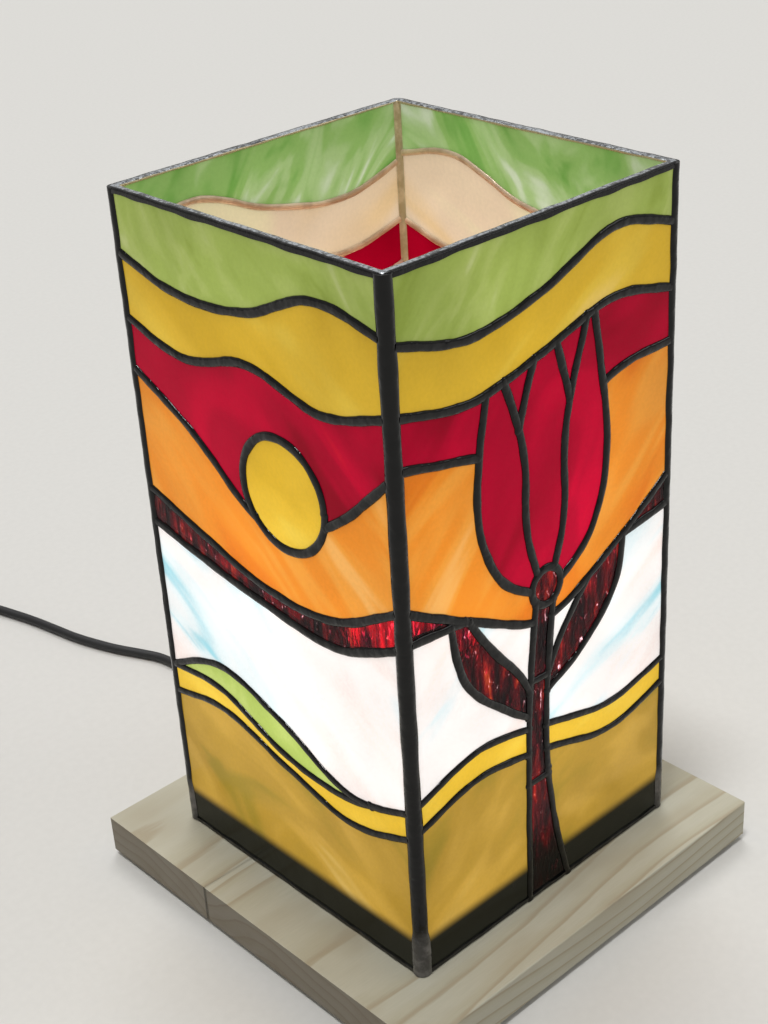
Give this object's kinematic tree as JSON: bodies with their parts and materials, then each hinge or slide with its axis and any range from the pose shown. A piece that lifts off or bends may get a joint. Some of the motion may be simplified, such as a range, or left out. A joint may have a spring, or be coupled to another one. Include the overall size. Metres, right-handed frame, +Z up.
{
  "type": "table lamp",
  "caption": "Square stained-glass table lamp: a leaded-glass box shade that lifts off a pine base with a lamp holder, bulb and mains lead.",
  "frame": {"origin": "on the table under the middle of the base board", "axes": "+Z up, -Y towards the front blossom panel, +Y towards the lead's exit"},
  "size_m": [0.2642, 0.5005, 0.3165],
  "materials": {
    "pine": "planed, unfinished",
    "plinth_wood": "sawn",
    "pad_rubber": "matt",
    "zinc_steel": "zinc plated",
    "cord_black": "smooth sheath",
    "clamp_plastic": "moulded",
    "rubber_black": "moulded",
    "tie_fabric": "woven",
    "plastic_black": "fine texture",
    "rocker_black": "satin",
    "nickel": "nickel plated",
    "holder_black": "moulded",
    "porcelain": "glazed",
    "brass": "bare",
    "tip_metal": "tinned",
    "insulator_black": "moulded",
    "bulb_white": "smooth",
    "bulb_dome": "frosted",
    "solder_black": "black patina on solder",
    "solder_tin": "tinned solder",
    "glass_green": "streaky opalescent",
    "glass_yellow": "streaky opalescent",
    "glass_red": "selenium red, streaky",
    "glass_orange": "streaky opalescent",
    "glass_maroon": "dark textured cathedral",
    "glass_white": "opal white with blue wisps",
    "glass_amber": "streaky opalescent"
  },
  "bodies": {
    "base": {"base_board_front": "pine", "base_board_rear": "pine", "plinth": "plinth_wood", "pads": "pad_rubber", "wood_screws": "zinc_steel", "inner_lead": "cord_black", "cord_clamp": "clamp_plastic", "strain_relief": "rubber_black", "cord_lead": "cord_black", "cord_coil": "cord_black", "coil_tie": "tie_fabric", "plug_body": "plastic_black", "plug_pins": "nickel", "switch_lower": "plastic_black", "switch_upper": "plastic_black", "holder_base": "holder_black", "holder_skirt": "holder_black", "holder_cup": "porcelain", "holder_shell": "brass", "holder_contacts": "brass"},
    "shade": {"front_solder": "solder_black", "rear_solder": "solder_black", "left_solder": "solder_black", "right_solder": "solder_black", "front_green": "glass_green", "front_yellow": "glass_yellow", "front_red": "glass_red", "front_orange": "glass_orange", "front_maroon": "glass_maroon", "front_white": "glass_white", "front_amber": "glass_amber", "rear_green": "glass_green", "rear_yellow": "glass_yellow", "rear_red": "glass_red", "rear_orange": "glass_orange", "rear_maroon": "glass_maroon", "rear_white": "glass_white", "rear_amber": "glass_amber", "left_green": "glass_green", "left_yellow": "glass_yellow", "left_red": "glass_red", "left_orange": "glass_orange", "left_white": "glass_white", "left_amber": "glass_amber", "right_green": "glass_green", "right_yellow": "glass_yellow", "right_red": "glass_red", "right_orange": "glass_orange", "right_white": "glass_white", "right_amber": "glass_amber", "corner_seams": "solder_black", "top_rim": "solder_tin", "bottom_rim": "solder_tin"},
    "bulb_contact": {"bulb_tip": "tip_metal"},
    "bulb": {"bulb_insulator": "insulator_black", "bulb_cap": "nickel", "bulb_body": "bulb_white", "bulb_board": "bulb_white", "bulb_dome": "bulb_dome"},
    "switch_rocker": {"rocker": "rocker_black"}
  },
  "joints": [
    {"name": "shade_lift", "type": "slide", "parent": "base", "child": "shade", "axis": [0, 0, 1], "range_m": [0, 0.16]},
    {"name": "bulb_rise", "type": "slide", "parent": "base", "child": "bulb_contact", "axis": [0, 0, 1], "range_m": [0, 0.02]},
    {"name": "bulb_turn", "type": "hinge", "parent": "bulb_contact", "child": "bulb", "pos_m": [0, 0, 0.05505], "axis": [0, 0, 1], "range_deg": [0, 1980]},
    {"name": "rocker_tip", "type": "hinge", "parent": "base", "child": "switch_rocker", "pos_m": [-0.073, 0.3765, 0.016], "axis": [0.5, 0.866, 0], "range_deg": [0, 14]}
  ],
  "couplings": [
    {"joint": "bulb_rise", "follows": "bulb_turn", "m_per_rad": 0.00057614}
  ]
}
